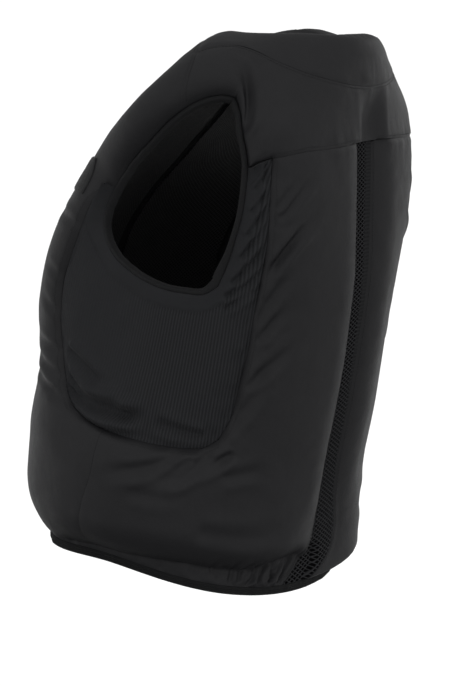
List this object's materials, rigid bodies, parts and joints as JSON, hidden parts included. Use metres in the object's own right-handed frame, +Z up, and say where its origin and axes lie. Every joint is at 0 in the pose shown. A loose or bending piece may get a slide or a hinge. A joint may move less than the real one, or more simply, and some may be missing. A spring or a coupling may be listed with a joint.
{
  "type": "inflatable riding vest",
  "caption": "Black inflated safety vest with padded chambers, spine mesh strip, ribbed side panels, collar roll, armhole tape and elastic hem, kept in its worn form.",
  "frame": {"origin": "where the vest rests on the wearer: midway between the shoulder straps, level with the base of the neck", "axes": "+Z up along the wearer's trunk, -Y the way the wearer faces, +X the wearer's left"},
  "size_m": [0.3896, 0.3514, 0.581],
  "materials": {
    "shell": "black close-woven coated cloth, slight sheen",
    "rib_knit": "black ribbed stretch knit, matt",
    "air_mesh": "black open diamond mesh, matt",
    "lining_mesh": "black fine mesh lining, matt",
    "binding": "black bias tape, slight sheen",
    "elastic": "black ribbed elastic, matt",
    "zip_tape": "black zip on woven tape",
    "patch": "black smooth patch, blank"
  },
  "bodies": {
    "root": {"collar": "shell", "back_yoke": "shell", "back_panel_left": "shell", "back_panel_right": "shell", "spine_mesh": "air_mesh", "front_panel_left": "shell", "front_panel_right": "shell", "side_panel_left": "rib_knit", "side_panel_right": "rib_knit", "front_zip": "zip_tape", "lining_back": "lining_mesh", "lining_front_left": "lining_mesh", "lining_front_right": "lining_mesh", "armhole_binding_left": "binding", "armhole_binding_right": "binding", "hem_band": "elastic", "chest_patch": "patch"}
  },
  "joints": []
}
